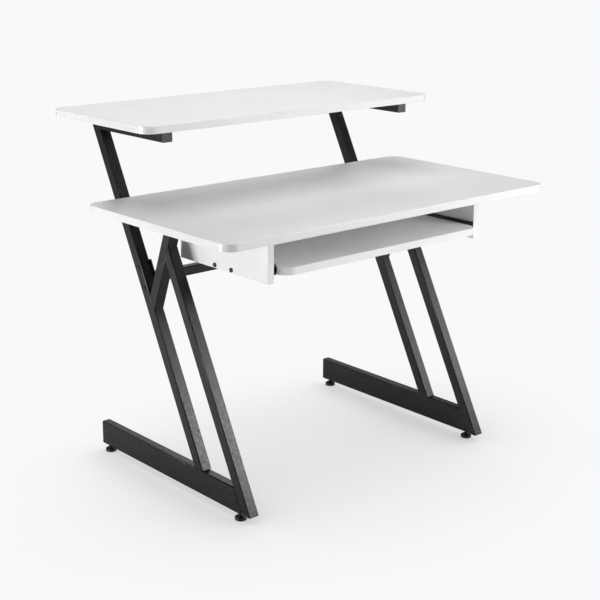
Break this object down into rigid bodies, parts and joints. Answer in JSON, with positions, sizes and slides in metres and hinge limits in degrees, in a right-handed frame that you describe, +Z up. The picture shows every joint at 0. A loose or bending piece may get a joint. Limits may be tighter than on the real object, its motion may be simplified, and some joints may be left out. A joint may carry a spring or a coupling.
{
  "type": "computer desk",
  "caption": "Computer desk with a pull-out keyboard tray under the main top and a raised rear shelf, on two raked tubular steel side frames.",
  "frame": {"origin": "centre of the footprint box, on the floor", "axes": "+X to the sitter's right, +Y away from the sitter towards the raised shelf, +Z up"},
  "size_m": [1.114, 0.834, 0.963],
  "materials": {
    "laminate_board": "smooth light grey-white laminate",
    "edge_band": "glossy white edge band",
    "white_panel": "white laminate",
    "powder_coat": "satin black powder coat",
    "plug_plastic": "matte dark grey plastic",
    "foot_plastic": "matte black plastic",
    "zinc_steel": "zinc plated",
    "black_bolt": "black oxide",
    "black_slide_steel": "black electro-coated steel",
    "cage_steel": "pressed steel",
    "ball_steel": "polished",
    "dowel_wood": "plain beech"
  },
  "bodies": {
    "desk": {"base_rail_left": "powder_coat", "base_rail_right": "powder_coat", "brace_left": "powder_coat", "brace_right": "powder_coat", "bracket_screws": "zinc_steel", "crossbar": "powder_coat", "crossbar_bolts": "black_bolt", "crossbar_nuts": "zinc_steel", "crossbar_plate_left": "powder_coat", "crossbar_plate_right": "powder_coat", "foot_inserts": "zinc_steel", "front_tube_left": "powder_coat", "front_tube_plugs": "plug_plastic", "front_tube_right": "powder_coat", "main_top": "laminate_board", "main_top_edge": "edge_band", "panel_brackets": "zinc_steel", "panel_dowels": "dowel_wood", "rail_plugs": "plug_plastic", "rear_tube_left": "powder_coat", "rear_tube_right": "powder_coat", "shelf_arm_left": "powder_coat", "shelf_arm_plugs": "plug_plastic", "shelf_arm_right": "powder_coat", "shelf_screws": "zinc_steel", "shelf_tabs_left": "powder_coat", "shelf_tabs_right": "powder_coat", "slide_fixed_left": "black_slide_steel", "slide_fixed_right": "black_slide_steel", "slide_panel_screws": "zinc_steel", "spreader_bolts": "black_bolt", "spreader_nuts": "zinc_steel", "top_arm_left": "powder_coat", "top_arm_plugs": "plug_plastic", "top_arm_right": "powder_coat", "top_screws": "zinc_steel", "top_tabs_left": "powder_coat", "top_tabs_right": "powder_coat", "tray_panel_left": "white_panel", "tray_panel_right": "white_panel", "tray_spreader": "powder_coat", "upper_shelf": "laminate_board", "upper_shelf_edge": "edge_band"},
    "tray": {"keyboard_tray": "laminate_board", "keyboard_tray_edge": "edge_band", "slide_moving_left": "black_slide_steel", "slide_moving_right": "black_slide_steel", "slide_tray_screws": "zinc_steel"},
    "cage_left": {"slide_cage_left": "cage_steel", "slide_balls_left": "ball_steel"},
    "cage_right": {"slide_cage_right": "cage_steel", "slide_balls_right": "ball_steel"},
    "foot_front_left_body": {"foot_front_left": "foot_plastic"},
    "foot_front_right_body": {"foot_front_right": "foot_plastic"},
    "foot_rear_left_body": {"foot_rear_left": "foot_plastic"},
    "foot_rear_right_body": {"foot_rear_right": "foot_plastic"}
  },
  "joints": [
    {"name": "tray_slide", "type": "slide", "parent": "desk", "child": "tray", "axis": [0, -1, 0], "range_m": [-0.028, 0.2]},
    {"name": "cage_left_slide", "type": "slide", "parent": "desk", "child": "cage_left", "axis": [0, -1, 0], "range_m": [-0.014, 0.1]},
    {"name": "cage_right_slide", "type": "slide", "parent": "desk", "child": "cage_right", "axis": [0, -1, 0], "range_m": [-0.014, 0.1]},
    {"name": "foot_front_left_screw", "type": "slide", "parent": "desk", "child": "foot_front_left_body", "axis": [0, 0, -1], "range_m": [-0.005, 0.02]},
    {"name": "foot_front_right_screw", "type": "slide", "parent": "desk", "child": "foot_front_right_body", "axis": [0, 0, -1], "range_m": [-0.005, 0.02]},
    {"name": "foot_rear_left_screw", "type": "slide", "parent": "desk", "child": "foot_rear_left_body", "axis": [0, 0, -1], "range_m": [-0.005, 0.02]},
    {"name": "foot_rear_right_screw", "type": "slide", "parent": "desk", "child": "foot_rear_right_body", "axis": [0, 0, -1], "range_m": [-0.005, 0.02]}
  ],
  "couplings": [
    {"joint": "cage_left_slide", "follows": "tray_slide", "ratio": 0.5},
    {"joint": "cage_right_slide", "follows": "tray_slide", "ratio": 0.5}
  ]
}
